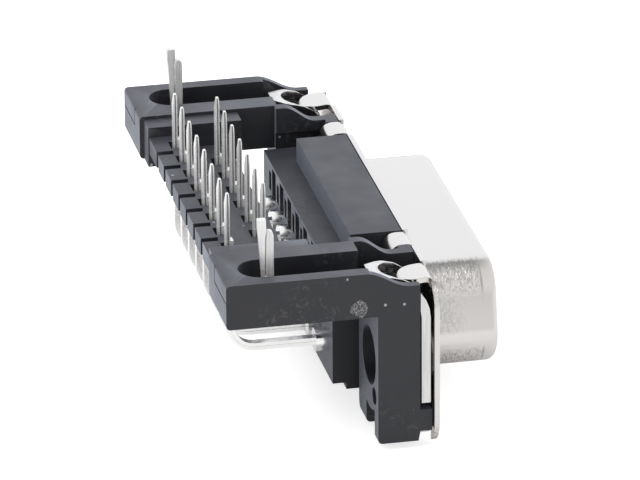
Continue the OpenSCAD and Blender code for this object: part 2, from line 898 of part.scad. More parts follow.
shell();
front_insulator();
rear_insulator();
bracket();
mirror([1, 0, 0]) ground_strap();  // ground_strap_left
ground_strap();  // ground_strap_right
mirror([1, 0, 0]) board_lock();  // board_lock_left
board_lock();  // board_lock_right
lower_contact(0);  // contact_1
lower_contact(1);  // contact_2
lower_contact(2);  // contact_3
lower_contact(3);  // contact_4
lower_contact(4);  // contact_5
lower_contact(5);  // contact_6
lower_contact(6);  // contact_7
lower_contact(7);  // contact_8
upper_contact(0);  // contact_9
upper_contact(1);  // contact_10
upper_contact(2);  // contact_11
upper_contact(3);  // contact_12
upper_contact(4);  // contact_13
upper_contact(5);  // contact_14
upper_contact(6);  // contact_15
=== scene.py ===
"""Dresses a right-angle D-sub connector and sets its stage.

The connector's own solids get softened edges and their finishes: moulded plastic, plated sheet and
tinned contacts. One small moulding mark is added.
"""

import math

import bmesh
import bpy
from mathutils import Matrix, Vector, noise


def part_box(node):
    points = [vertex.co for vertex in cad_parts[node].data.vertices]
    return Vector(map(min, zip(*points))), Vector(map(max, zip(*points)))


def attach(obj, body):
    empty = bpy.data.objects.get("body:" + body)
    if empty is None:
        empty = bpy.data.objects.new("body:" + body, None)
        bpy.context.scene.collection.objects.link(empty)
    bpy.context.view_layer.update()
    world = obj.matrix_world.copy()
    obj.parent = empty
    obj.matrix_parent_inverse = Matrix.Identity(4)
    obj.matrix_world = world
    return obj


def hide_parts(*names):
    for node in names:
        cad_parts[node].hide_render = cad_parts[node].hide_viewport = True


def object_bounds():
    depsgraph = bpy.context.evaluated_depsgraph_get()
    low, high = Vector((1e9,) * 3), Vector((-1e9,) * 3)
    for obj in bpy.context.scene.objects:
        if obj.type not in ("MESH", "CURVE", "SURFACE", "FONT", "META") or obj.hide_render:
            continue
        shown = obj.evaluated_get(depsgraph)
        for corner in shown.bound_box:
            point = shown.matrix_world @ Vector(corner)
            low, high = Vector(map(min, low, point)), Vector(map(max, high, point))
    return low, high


bl_info = {
    "name": "D-sub connector dresser",
    "version": (1, 0, 0),
    "blender": (4, 5, 0),
    "location": "3D View > Sidebar > Connector",
    "description": "Finishes, small moulding marks and a stage for a right-angle D-sub connector",
    "category": "Object",
}

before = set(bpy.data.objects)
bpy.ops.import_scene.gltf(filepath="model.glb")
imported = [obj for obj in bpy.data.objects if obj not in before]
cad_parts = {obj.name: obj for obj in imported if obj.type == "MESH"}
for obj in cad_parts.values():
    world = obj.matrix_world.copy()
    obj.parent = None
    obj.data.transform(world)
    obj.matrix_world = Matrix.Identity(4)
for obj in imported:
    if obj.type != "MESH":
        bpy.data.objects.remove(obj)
CAD_BOX = [list(corner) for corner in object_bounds()]

MM = 0.001
UM = 0.001 * MM

SIDES = ("left", "right")
CONTACTS = [f"contact_{number}" for number in range(1, 16)]
ROW_CONTACTS = ("contact_9", "contact_1")  # one of each row of tails
TAIL_THICKNESS = 0.32 * MM

# how a solid's mesh is prepared before its edges are softened
MERGE_DISTANCE = 1e-7
FLAT_ANGLE = math.radians(0.6)
SMOOTH_ANGLE = math.radians(32)
BEVEL_ANGLE = math.radians(35)


# ---------- settings ----------


class ConnectorFinishes(bpy.types.PropertyGroup):
    """Colours and edge sizes of the connector's materials"""

    bracket_colour: bpy.props.FloatVectorProperty(
        name="Bracket", description="Colour of the bracket's plastic", subtype="COLOR",
        size=3, min=0, max=1, default=(0.0130, 0.0135, 0.0175))
    insulator_colour: bpy.props.FloatVectorProperty(
        name="Insulators", description="Colour of the insulators' plastic", subtype="COLOR",
        size=3, min=0, max=1, default=(0.0125, 0.0130, 0.0170))
    shell_colour: bpy.props.FloatVectorProperty(
        name="Shell", description="Colour of the shell's plating", subtype="COLOR",
        size=3, min=0, max=1, default=(0.665, 0.645, 0.628))
    strap_colour: bpy.props.FloatVectorProperty(
        name="Straps", description="Colour of the grounding straps' plating", subtype="COLOR",
        size=3, min=0, max=1, default=(0.680, 0.672, 0.665))
    lock_colour: bpy.props.FloatVectorProperty(
        name="Locks", description="Colour of the board locks' tin", subtype="COLOR",
        size=3, min=0, max=1, default=(0.900, 0.895, 0.890))
    contact_colour: bpy.props.FloatVectorProperty(
        name="Contacts", description="Colour of the contacts' tin", subtype="COLOR",
        size=3, min=0, max=1, default=(0.960, 0.957, 0.950))
    moulded_edge: bpy.props.FloatProperty(
        name="Moulded edge", description="Width of the softened edges on mouldings",
        unit="LENGTH", min=0, default=0.00007)
    sheet_edge: bpy.props.FloatProperty(
        name="Sheet edge", description="Width of the softened edges on sheet parts",
        unit="LENGTH", min=0, default=0.00005)
    contact_edge: bpy.props.FloatProperty(
        name="Contact edge", description="Width of the softened edges on the contacts",
        unit="LENGTH", min=0, default=0.00010)


class ConnectorMarks(bpy.types.PropertyGroup):
    """Size and place of the mark that moulding leaves"""

    gate_width: bpy.props.FloatProperty(
        name="Gate mark", description="Width of the rough spot where a runner was broken off",
        unit="LENGTH", min=0, default=0.00115)
    gate_height: bpy.props.FloatProperty(
        name="Gate height", description="How far the broken gate stands out",
        unit="LENGTH", min=0, default=0.00007)
    gate_back: bpy.props.FloatProperty(
        name="Gate depth", description="From the flange's front face back to the gate mark",
        unit="LENGTH", default=0.0057)
    gate_rise: bpy.props.FloatProperty(
        name="Gate rise", description="From the flange holes up to the gate mark",
        unit="LENGTH", default=0.00485)


class ConnectorStage(bpy.types.PropertyGroup):
    """Camera, lamps and floor"""

    azimuth: bpy.props.FloatProperty(
        name="Azimuth", description="Camera's turn round the connector", subtype="ANGLE",
        unit="ROTATION", default=math.radians(-101.88))
    elevation: bpy.props.FloatProperty(
        name="Elevation", description="Camera's height over the horizon", subtype="ANGLE",
        unit="ROTATION", default=math.radians(22.919))
    roll: bpy.props.FloatProperty(
        name="Roll", description="Camera's tilt", subtype="ANGLE",
        unit="ROTATION", default=math.radians(-0.372))
    distance: bpy.props.FloatProperty(
        name="Distance", description="From the camera to the point that it turns round",
        unit="LENGTH", default=0.515176)
    lens: bpy.props.FloatProperty(
        name="Lens", description="Focal length on a 36 mm sensor", unit="CAMERA",
        default=399.81)
    pivot: bpy.props.FloatVectorProperty(
        name="Pivot", description="Point that the camera turns round", subtype="TRANSLATION",
        unit="LENGTH", size=3, default=(0.0, 0.00038, 0.0))
    shift_right: bpy.props.FloatProperty(
        name="Shift right", description="How far the camera stands to the right of the pivot",
        unit="LENGTH", default=-0.003954)
    shift_up: bpy.props.FloatProperty(
        name="Shift up", description="How far the camera stands above the pivot",
        unit="LENGTH", default=0.001526)
    key_power: bpy.props.FloatProperty(
        name="Key lamp", description="Power of the lamp behind and above the connector",
        unit="POWER", min=0, default=0.7)
    panel_power: bpy.props.FloatProperty(
        name="Panel lamp", description="Power of the large lamp at the right end",
        unit="POWER", min=0, default=0.30)
    panel_colour: bpy.props.FloatVectorProperty(
        name="Panel colour", description="Colour of the large lamp's light", subtype="COLOR",
        size=3, min=0, max=1, default=(0.80, 0.87, 1.0))
    floor_depth: bpy.props.FloatProperty(
        name="Floor", description="Depth of the floor under the origin", unit="LENGTH",
        min=0, default=-CAD_BOX[0][2])


# ---------- nodes ----------

# the colour sockets of a Mix node, whose names are shared with its other kinds of socket
MIX_LOW, MIX_HIGH, MIX_RESULT = 6, 7, 2


def feed(tree, socket, value):
    """Links a socket to another one, or sets it to a plain number or colour."""
    if isinstance(value, bpy.types.NodeSocket):
        tree.links.new(value, socket)
    elif isinstance(value, tuple):
        socket.default_value = (*value, 1.0)
    else:
        socket.default_value = value


def math_node(tree, operation, a, b=0.0):
    """A math node fed by sockets or plain numbers; returns its output."""
    node = tree.nodes.new("ShaderNodeMath")
    node.operation = operation
    feed(tree, node.inputs[0], a)
    feed(tree, node.inputs[1], b)
    return node.outputs[0]


def product(tree, first, *others):
    """Multiplies sockets and plain numbers; returns the output."""
    result = first
    for value in others:
        result = math_node(tree, "MULTIPLY", result, value)
    return result


def range_node(tree, value, low, high, to_low, to_high):
    """Maps a value from one range to another, clamped; returns its output."""
    node = tree.nodes.new("ShaderNodeMapRange")
    tree.links.new(value, node.inputs["Value"])
    limits = {"From Min": low, "From Max": high, "To Min": to_low, "To Max": to_high}
    for label, number in limits.items():
        node.inputs[label].default_value = number
    return node.outputs[0]


def fade_in(tree, value, start, full):
    """A mask that grows from 0 at the start to 1 where it is full."""
    return range_node(tree, value, start, full, 0.0, 1.0)


def fade_out(tree, value, start, end):
    """A mask that falls from 1 at the start to 0 at the end."""
    return range_node(tree, value, start, end, 1.0, 0.0)


def band(tree, value, rise, fall):
    """A mask that is 1 between the rise and the fall, and 0 outside them."""
    return product(tree, fade_in(tree, value, *rise), fade_out(tree, value, *fall))


def mix_colour(tree, mask, low, high):
    """Mixes two colours by a mask; returns the colour socket."""
    mix = tree.nodes.new("ShaderNodeMix")
    mix.data_type = "RGBA"
    tree.links.new(mask, mix.inputs["Factor"])
    feed(tree, mix.inputs[MIX_LOW], low)
    feed(tree, mix.inputs[MIX_HIGH], high)
    return mix.outputs[MIX_RESULT]


def noise_node(tree, vector, scale, detail, roughness=0.5, distortion=0.0):
    """A noise texture on a vector; returns its grey output."""
    node = tree.nodes.new("ShaderNodeTexNoise")
    inputs = {"Vector": vector, "Scale": scale, "Detail": detail,
              "Roughness": roughness, "Distortion": distortion}
    for label, value in inputs.items():
        feed(tree, node.inputs[label], value)
    return node.outputs["Fac"]


def ramp_node(tree, value, stops):
    """A grey ramp through the given (place, level) stops; returns its colour."""
    ramp = tree.nodes.new("ShaderNodeValToRGB")
    elements = ramp.color_ramp.elements
    while len(elements) < len(stops):
        elements.new(0.5)
    for element, (place, level) in zip(elements, stops):
        element.position = place
        element.color = (level, level, level, 1.0)
    tree.links.new(value, ramp.inputs[0])
    return ramp.outputs["Color"]


def split_vector(tree, vector):
    """The three outputs of a vector's parts."""
    node = tree.nodes.new("ShaderNodeSeparateXYZ")
    tree.links.new(vector, node.inputs[0])
    return node.outputs


def stretch_vector(tree, vector, stretch):
    """A vector multiplied part by part; returns the output."""
    node = tree.nodes.new("ShaderNodeVectorMath")
    node.operation = "MULTIPLY"
    tree.links.new(vector, node.inputs[0])
    tree.links.new(stretch, node.inputs[1])
    return node.outputs[0]


def add_bump(tree, shader, height, strength, distance):
    """Feeds a height to the shader's normal."""
    bump = tree.nodes.new("ShaderNodeBump")
    bump.inputs["Strength"].default_value = strength
    bump.inputs["Distance"].default_value = distance
    tree.links.new(height, bump.inputs["Height"])
    tree.links.new(bump.outputs["Normal"], shader.inputs["Normal"])


# ---------- node groups ----------

# every Size, Cloud, Density and Gather is in lumps per metre
PLACE_INPUT = ("Vector", "NodeSocketVector", (0.0, 0.0, 0.0))
STRETCH_INPUT = ("Stretch", "NodeSocketVector", (1.0, 1.0, 1.0))


def new_group(name, inputs, outputs):
    """An empty shader node group with the given sockets, and its two end nodes."""
    group = bpy.data.node_groups.new(name, "ShaderNodeTree")
    for label, kind, value in (PLACE_INPUT, *inputs):
        socket = group.interface.new_socket(name=label, in_out="INPUT", socket_type=kind)
        socket.default_value = value
    for label in outputs:
        group.interface.new_socket(name=label, in_out="OUTPUT", socket_type="NodeSocketFloat")
    return group, group.nodes.new("NodeGroupInput").outputs, group.nodes.new("NodeGroupOutput").inputs


def fine_grain(name):
    """Fine moulded or plated grain, and a soft cloud that varies colour and gloss."""
    group, start, end = new_group(
        name, [("Size", "NodeSocketFloat", 9000.0), ("Cloud", "NodeSocketFloat", 300.0)],
        ["Height", "Cloud"])
    grain = noise_node(group, start["Vector"], start["Size"], detail=4.0, roughness=0.65)
    cloud = noise_node(group, start["Vector"], start["Cloud"], detail=3.0)
    group.links.new(grain, end["Height"])
    group.links.new(cloud, end["Cloud"])
    return group


def dust_specks(name):
    """Sparse pale specks of dust or flash, as a mask."""
    group, start, end = new_group(
        name, [("Density", "NodeSocketFloat", 560.0), ("Amount", "NodeSocketFloat", 0.8)], ["Mask"])
    cells = group.nodes.new("ShaderNodeTexVoronoi")
    cells.feature = "F1"
    group.links.new(start["Vector"], cells.inputs["Vector"])
    group.links.new(start["Density"], cells.inputs["Scale"])
    split = group.nodes.new("ShaderNodeSeparateColor")
    group.links.new(cells.outputs["Color"], split.inputs[0])
    chosen = math_node(group, "LESS_THAN", split.outputs[0], start["Amount"])
    near = fade_out(group, cells.outputs["Distance"], 0.04, 0.07)
    group.links.new(product(group, chosen, near), end["Mask"])
    return group


def drawn_streaks(name):
    """Soft streaks along one direction, as rolling or drawing leaves on metal."""
    group, start, end = new_group(name, [STRETCH_INPUT, ("Size", "NodeSocketFloat", 2500.0)], ["Streak"])
    along = stretch_vector(group, start["Vector"], start["Stretch"])
    streak = noise_node(group, along, start["Size"], detail=5.0, roughness=0.6)
    group.links.new(streak, end["Streak"])
    return group


def orange_peel(name):
    """The mottled skin of deep-drawn metal, as a mask of its low spots and a height."""
    group, start, end = new_group(
        name, [STRETCH_INPUT, ("Size", "NodeSocketFloat", 7000.0)], ["Low", "Height"])
    along = stretch_vector(group, start["Vector"], start["Stretch"])
    skin = noise_node(group, along, start["Size"], detail=2.5, roughness=0.6, distortion=0.6)
    group.links.new(fade_in(group, skin, 0.46, 0.58), end["Low"])
    group.links.new(skin, end["Height"])
    return group


def handling_scuffs(name):
    """Faint pale rubs, gathered in a few places, as a mask."""
    group, start, end = new_group(
        name, [("Size", "NodeSocketFloat", 1500.0), ("Gather", "NodeSocketFloat", 170.0)], ["Mask"])
    rubs = noise_node(group, start["Vector"], start["Size"], detail=6.0, roughness=0.7, distortion=1.2)
    places = noise_node(group, start["Vector"], start["Gather"], detail=1.0)
    strong = fade_in(group, rubs, 0.54, 0.66)
    here = fade_in(group, places, 0.5, 0.62)
    group.links.new(product(group, strong, here), end["Mask"])
    return group


GROUP_MAKERS = {
    "Fine grain": fine_grain,
    "Dust specks": dust_specks,
    "Drawn streaks": drawn_streaks,
    "Orange peel": orange_peel,
    "Handling scuffs": handling_scuffs,
}


def add_group(tree, name, vector, **values):
    """Places a node group, which is made on first use, and sets its inputs; returns its outputs."""
    node = tree.nodes.new("ShaderNodeGroup")
    node.node_tree = bpy.data.node_groups.get(name) or GROUP_MAKERS[name](name)
    tree.links.new(vector, node.inputs["Vector"])
    for label, value in values.items():
        node.inputs[label].default_value = value
    return node.outputs


# ---------- materials ----------

DUST_COLOUR = (0.42, 0.42, 0.44)
RUBBED_COLOUR = (0.13, 0.13, 0.14)
TORN_COLOUR = (0.34, 0.34, 0.35)
SHEEN_TINT = (0.76, 0.83, 1.0)

# where the shell's marks fade in or out, as distances behind its lip
LIP_CLEAR = (0.22 * MM, 1.42 * MM)
SKIN_START = (0.92 * MM, 1.52 * MM)
# the painted shade line in the crease where the lip's roll begins
CREASE_SHADE_LINE = ((1.02 * MM, 1.14 * MM), (1.14 * MM, 1.26 * MM))
PATCH_START = (2.22 * MM, 3.62 * MM)
SIDE_END = (5.22 * MM, 5.62 * MM)
# the same for the darker band of its sides, as heights over its middle
DARKER_BAND = ((-0.9 * MM, -0.6 * MM), (1.7 * MM, 2.4 * MM))
# how much a face points sideways or upwards, from 0 to 1, where it becomes a side or a corner
SIDE_TURN = (0.8, 0.93)
CORNER_TURN = {"sideways": (0.14, 0.3), "upward": (0.19, 0.4)}
# how dark a corner's painted reflection is, by how much it points upwards
PAINTED_BEND_REFLECTION = ((0.0, 0.0), (0.45, 0.0), (0.75, 0.16), (0.93, 0.66), (0.985, 0.0))

# the contacts' tails: the height where they begin, and their seams
TAIL_START = (4.2 * MM, 5.2 * MM)
SEAM_EDGE = (30 * UM, 70 * UM)
SEAM_TURN = (0.6, 0.9)


def shade(colour, factor):
    """A colour made darker or lighter."""
    return tuple(factor * part for part in colour)


def new_material(name):
    """A node material with its tree and its Principled BSDF."""
    material = bpy.data.materials.new(name)
    material.use_nodes = True
    tree = material.node_tree
    return material, tree, tree.nodes["Principled BSDF"]


def coordinates(tree):
    """The outputs of a Texture Coordinate node."""
    return tree.nodes.new("ShaderNodeTexCoord").outputs


def moulded_plastic(name, colour, roughness, dust, grain):
    """Black moulded plastic: satin, finely grained, a little rubbed, with a few pale specks."""
    material, tree, shader = new_material(name)
    place = coordinates(tree)["Object"]
    grained = add_group(tree, "Fine grain", place, Size=grain, Cloud=420.0)
    specks = add_group(tree, "Dust specks", place, Amount=dust)
    scuffs = add_group(tree, "Handling scuffs", place)
    clouded = mix_colour(tree, grained["Cloud"], shade(colour, 0.82), shade(colour, 1.2))
    rubbed = mix_colour(tree, product(tree, scuffs["Mask"], 0.42), clouded, RUBBED_COLOUR)
    dusty = mix_colour(tree, specks["Mask"], rubbed, DUST_COLOUR)
    tree.links.new(dusty, shader.inputs["Base Color"])
    gloss = range_node(tree, grained["Cloud"], 0.3, 0.7, roughness - 0.07, roughness + 0.08)
    tree.links.new(gloss, shader.inputs["Roughness"])
    shader.inputs["IOR"].default_value = 1.5
    shader.inputs["Sheen Weight"].default_value = 0.45
    shader.inputs["Sheen Roughness"].default_value = 0.4
    shader.inputs["Sheen Tint"].default_value = (*SHEEN_TINT, 1.0)
    add_bump(tree, shader, grained["Height"], strength=0.3, distance=10 * UM)
    return material


def scuffed_plastic(name, colour):
    """Torn black plastic: pale fine scratches that curl over a dark ground."""
    material, tree, shader = new_material(name)
    place = coordinates(tree)["Object"]
    curls = noise_node(tree, place, 5200.0, detail=4.0, roughness=0.7, distortion=2.2)
    pale = range_node(tree, curls, 0.45, 0.56, 0.0, 0.9)
    tree.links.new(mix_colour(tree, pale, colour, TORN_COLOUR), shader.inputs["Base Color"])
    shader.inputs["Roughness"].default_value = 0.7
    add_bump(tree, shader, curls, strength=0.6, distance=50 * UM)
    return material


def plated_metal(name, colour, roughness, metallic, stretch, streak_size, bump):
    """Bright plating over sheet: faint streaks in colour and gloss, and a fine uneven surface."""
    material, tree, shader = new_material(name)
    place = coordinates(tree)["Object"]
    streak = add_group(tree, "Drawn streaks", place, Stretch=stretch, Size=streak_size)["Streak"]
    grained = add_group(tree, "Fine grain", place, Size=6000.0, Cloud=500.0)
    streaky = mix_colour(tree, fade_in(tree, streak, 0.4, 0.56), shade(colour, 0.84), colour)
    tree.links.new(streaky, shader.inputs["Base Color"])
    shader.inputs["Metallic"].default_value = metallic
    both = math_node(tree, "ADD", streak, grained["Cloud"])
    gloss = range_node(tree, both, 0.7, 1.3, roughness - 0.05, roughness + 0.07)
    tree.links.new(gloss, shader.inputs["Roughness"])
    height = math_node(tree, "ADD", streak, grained["Height"])
    add_bump(tree, shader, height, strength=bump, distance=20 * UM)
    return material


def drawn_plating(name, colour, lip):
    """Nickel over a drawn shell: even on the flats, mottled round the corners, with a painted dark
    reflection on each corner's bend and a painted shade line at the lip's roll.
    """
    material, tree, shader = new_material(name)
    coords = coordinates(tree)
    place = split_vector(tree, coords["Object"])
    facing = split_vector(tree, coords["Normal"])
    sideways = math_node(tree, "ABSOLUTE", facing["X"])
    upward = math_node(tree, "ABSOLUTE", facing["Z"])
    behind_lip = math_node(tree, "SUBTRACT", place["Y"], lip)
    on_corner = product(tree, fade_in(tree, sideways, *CORNER_TURN["sideways"]),
                        fade_in(tree, upward, *CORNER_TURN["upward"]))

    # a band across the upper half of each side is darker, with a mottled patch by the root
    on_side = product(tree, fade_in(tree, sideways, *SIDE_TURN), fade_out(tree, behind_lip, *SIDE_END))
    darker_band = product(tree, band(tree, place["Z"], *DARKER_BAND), on_side)
    patch = product(tree, darker_band, range_node(tree, behind_lip, *PATCH_START, 0.04, 0.75))

    # the mottled skin fades out towards the lip
    drawn = product(tree, math_node(tree, "MAXIMUM", on_corner, patch),
                    fade_in(tree, behind_lip, *SKIN_START))
    peel = add_group(tree, "Orange peel", coords["Object"], Stretch=(0.4, 1.0, 0.4), Size=7500.0)
    low = product(tree, peel["Low"], drawn)

    streaks = add_group(tree, "Drawn streaks", coords["Object"], Stretch=(1.0, 0.12, 1.0), Size=3000.0)
    even = mix_colour(tree, streaks["Streak"], shade(colour, 0.985), shade(colour, 1.015))
    even = mix_colour(tree, darker_band, even, shade(colour, 0.86))
    mottled = mix_colour(tree, low, even, shade(colour, 0.7))

    # each corner gets a painted dark reflection where its bend begins, which clears towards the side
    bend = ramp_node(tree, upward, PAINTED_BEND_REFLECTION)
    off_lip = range_node(tree, behind_lip, *LIP_CLEAR, 0.25, 1.0)
    painted_reflection = product(tree, bend, on_corner, off_lip)

    # a thin painted shade line darkens the crease where the lip's roll begins
    crease_shade = product(tree, band(tree, behind_lip, *CREASE_SHADE_LINE), on_corner, 0.5)
    # the painted reflection and the painted shade line together darken the plating towards near black
    dark = math_node(tree, "MAXIMUM", painted_reflection, crease_shade)
    tree.links.new(mix_colour(tree, dark, mottled, shade(colour, 0.12)), shader.inputs["Base Color"])

    shader.inputs["Metallic"].default_value = 1.0
    tree.links.new(range_node(tree, low, 0.0, 1.0, 0.2, 0.4), shader.inputs["Roughness"])
    add_bump(tree, shader, product(tree, peel["Height"], drawn), strength=0.9, distance=80 * UM)
    return material


def tinned_contact(name, colour, rows):
    """Satin tin over a rolled contact, with a dark seam down the sides of each row's tails."""
    material, tree, shader = new_material(name)
    coords = coordinates(tree)
    place = split_vector(tree, coords["Object"])
    sideways = math_node(tree, "ABSOLUTE", split_vector(tree, coords["Normal"])["X"])
    tail = fade_in(tree, place["Z"], *TAIL_START)
    on_tail_side = product(tree, fade_in(tree, sideways, *SEAM_TURN), tail)
    cloud = add_group(tree, "Fine grain", coords["Object"], Size=9000.0, Cloud=700.0)["Cloud"]
    tinned = mix_colour(tree, cloud, shade(colour, 0.94), colour)
    for row in rows:
        off_middle = math_node(tree, "ABSOLUTE", math_node(tree, "SUBTRACT", place["Y"], row))
        seam = product(tree, fade_out(tree, off_middle, *SEAM_EDGE), on_tail_side)
        tinned = mix_colour(tree, seam, tinned, shade(colour, 0.2))
    tree.links.new(tinned, shader.inputs["Base Color"])
    # the lower lengths mirror fully, and the tails are matt and pale
    tree.links.new(range_node(tree, tail, 0.0, 1.0, 1.0, 0.34), shader.inputs["Metallic"])
    gloss = math_node(tree, "ADD", range_node(tree, cloud, 0.3, 0.7, 0.0, 0.1),
                      range_node(tree, tail, 0.0, 1.0, 0.12, 0.22))
    tree.links.new(gloss, shader.inputs["Roughness"])
    add_bump(tree, shader, cloud, strength=0.1, distance=10 * UM)
    return material


# ---------- pieces ----------

# the broken gate's outline and crust, each as how deep and how close its lumps are
GATE_OUTLINE = ((0.22, 1.9), (0.12, 6.0))
GATE_CRUST = ((0.5, 9.0),)
GATE_TALLER = 1.12


def dressed_copy(node, material, edge):
    """A copy of a CAD node with softened edges, shown in the node's place."""
    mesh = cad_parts[node].data.copy()
    mesh.name = f"{node}_finished"
    piece = bpy.data.objects.new(f"{node}_finished", mesh)
    bpy.context.scene.collection.objects.link(piece)
    bm = bmesh.new()
    bm.from_mesh(mesh)
    bmesh.ops.remove_doubles(bm, verts=bm.verts, dist=MERGE_DISTANCE)
    bmesh.ops.dissolve_limit(
        bm, angle_limit=FLAT_ANGLE, verts=bm.verts, edges=bm.edges, delimit=set())
    bm.to_mesh(mesh)
    bm.free()
    mesh.materials.clear()
    mesh.materials.append(material)
    mesh.shade_smooth()
    mesh.set_sharp_from_angle(angle=SMOOTH_ANGLE)
    if edge > 0:
        bevel = piece.modifiers.new("Softened edges", "BEVEL")
        bevel.width = edge
        bevel.segments = 2
        bevel.limit_method = "ANGLE"
        bevel.angle_limit = BEVEL_ANGLE
        bevel.harden_normals = True
        bevel.use_clamp_overlap = True
    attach(piece, "root")
    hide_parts(node)


def lumpy(point, lumps):
    """How far a rough surface stands out at a point, about 1."""
    return 1.0 + sum(depth * noise.noise(point * close) for depth, close in lumps)


def broken_gate(centre, width, height):
    """The mesh of a thin crusted disc of torn plastic that faces sideways."""
    bm = bmesh.new()
    bmesh.ops.create_icosphere(bm, subdivisions=5, radius=1.0)
    for vert in bm.verts:
        crust, outline = lumpy(vert.co, GATE_CRUST), lumpy(vert.co, GATE_OUTLINE)
        vert.co *= Vector((crust, outline, outline))
    bmesh.ops.scale(bm, verts=bm.verts, vec=(height, width / 2, GATE_TALLER * width / 2))
    bmesh.ops.translate(bm, verts=bm.verts, vec=centre)
    mesh = bpy.data.meshes.new("gate_mark")
    bm.to_mesh(mesh)
    bm.free()
    mesh.shade_smooth()
    return mesh


class ConnectorPiece:
    """Shared base of the operators"""

    bl_options = {"REGISTER", "UNDO"}


class CONNECTOR_OT_bracket(ConnectorPiece, bpy.types.Operator):
    """Finishes the bracket"""

    bl_idname = "connector.bracket"
    bl_label = "Bracket"

    def execute(self, context):
        finish = context.scene.connector_finishes
        plastic = moulded_plastic(
            "Bracket plastic", tuple(finish.bracket_colour), roughness=0.46, dust=0.8, grain=14000.0)
        dressed_copy("bracket", plastic, finish.moulded_edge)
        return {"FINISHED"}


class CONNECTOR_OT_gate_mark(ConnectorPiece, bpy.types.Operator):
    """Adds the rough spot that a broken-off runner left on the bracket's side"""

    bl_idname = "connector.gate_mark"
    bl_label = "Gate mark"

    def execute(self, context):
        finish, marks = context.scene.connector_finishes, context.scene.connector_marks
        left_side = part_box("bracket")[0].x
        centre = (left_side, marks.gate_back, marks.gate_rise)
        mesh = broken_gate(centre, marks.gate_width, marks.gate_height)
        mesh.materials.append(scuffed_plastic("Scuffed plastic", tuple(finish.bracket_colour)))
        piece = bpy.data.objects.new("gate_mark", mesh)
        context.scene.collection.objects.link(piece)
        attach(piece, "root")
        return {"FINISHED"}


class CONNECTOR_OT_insulators(ConnectorPiece, bpy.types.Operator):
    """Finishes the front and rear insulators"""

    bl_idname = "connector.insulators"
    bl_label = "Insulators"

    def execute(self, context):
        finish = context.scene.connector_finishes
        plastic = moulded_plastic(
            "Insulator plastic", tuple(finish.insulator_colour), roughness=0.5, dust=0.3, grain=12000.0)
        for node in ("front_insulator", "rear_insulator"):
            dressed_copy(node, plastic, finish.moulded_edge)
        return {"FINISHED"}


class CONNECTOR_OT_shell(ConnectorPiece, bpy.types.Operator):
    """Finishes the drawn shell"""

    bl_idname = "connector.shell"
    bl_label = "Shell"

    def execute(self, context):
        finish = context.scene.connector_finishes
        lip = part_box("shell")[0].y
        plating = drawn_plating("Nickel plating", tuple(finish.shell_colour), lip)
        dressed_copy("shell", plating, finish.sheet_edge)
        return {"FINISHED"}


class CONNECTOR_OT_straps(ConnectorPiece, bpy.types.Operator):
    """Finishes the grounding straps"""

    bl_idname = "connector.straps"
    bl_label = "Grounding straps"

    def execute(self, context):
        finish = context.scene.connector_finishes
        plating = plated_metal(
            "Strap plating", tuple(finish.strap_colour), roughness=0.2, metallic=1.0,
            stretch=(1.0, 1.0, 0.07), streak_size=2600.0, bump=0.04)
        for side in SIDES:
            dressed_copy(f"ground_strap_{side}", plating, finish.sheet_edge)
        return {"FINISHED"}


class CONNECTOR_OT_locks(ConnectorPiece, bpy.types.Operator):
    """Finishes the split board locks"""

    bl_idname = "connector.locks"
    bl_label = "Board locks"

    def execute(self, context):
        finish = context.scene.connector_finishes
        plating = plated_metal(
            "Lock plating", tuple(finish.lock_colour), roughness=0.28, metallic=0.38,
            stretch=(1.0, 1.0, 0.1), streak_size=3000.0, bump=0.05)
        for side in SIDES:
            dressed_copy(f"board_lock_{side}", plating, finish.sheet_edge)
        return {"FINISHED"}


class CONNECTOR_OT_contacts(ConnectorPiece, bpy.types.Operator):
    """Finishes the tinned contacts"""

    bl_idname = "connector.contacts"
    bl_label = "Contacts"

    def execute(self, context):
        finish = context.scene.connector_finishes
        rows = [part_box(node)[1].y - TAIL_THICKNESS / 2 for node in ROW_CONTACTS]
        plating = tinned_contact("Contact plating", tuple(finish.contact_colour), rows)
        for node in CONTACTS:
            dressed_copy(node, plating, finish.contact_edge)
        return {"FINISHED"}


class CONNECTOR_OT_stage(ConnectorPiece, bpy.types.Operator):
    """Sets the floor, the room, the lamps and the camera"""

    bl_idname = "connector.stage"
    bl_label = "Stage"

    def execute(self, context):
        scene, stage = context.scene, context.scene.connector_stage
        white_floor(scene, stage.floor_depth)
        white_room(scene)
        soft_lamp(scene, "Key", place=(-0.10, 0.24, 0.36), size=0.3,
                  power=stage.key_power, colour=(1.0, 1.0, 1.0))
        soft_lamp(scene, "Panel", place=(0.43, -0.06, 0.235), size=0.6,
                  power=stage.panel_power, colour=stage.panel_colour)
        long_lens(scene, stage)
        scene.view_settings.view_transform = "Standard"
        return {"FINISHED"}


# ---------- stage ----------

WHITE = (1.0, 1.0, 1.0, 1.0)
LAMP_TARGET = Vector((0.0, 4 * MM, 0.0))
FLOOR_REACH = 1.6
FLOOR_GREY = 0.9
FLOOR_GLOW_SEEN = 0.66
FLOOR_GLOW_MIRRORED = 0.2
ROOM_LIGHT = 0.75
ROOM_SEEN = 1.0
SENSOR_WIDTH = 36.0


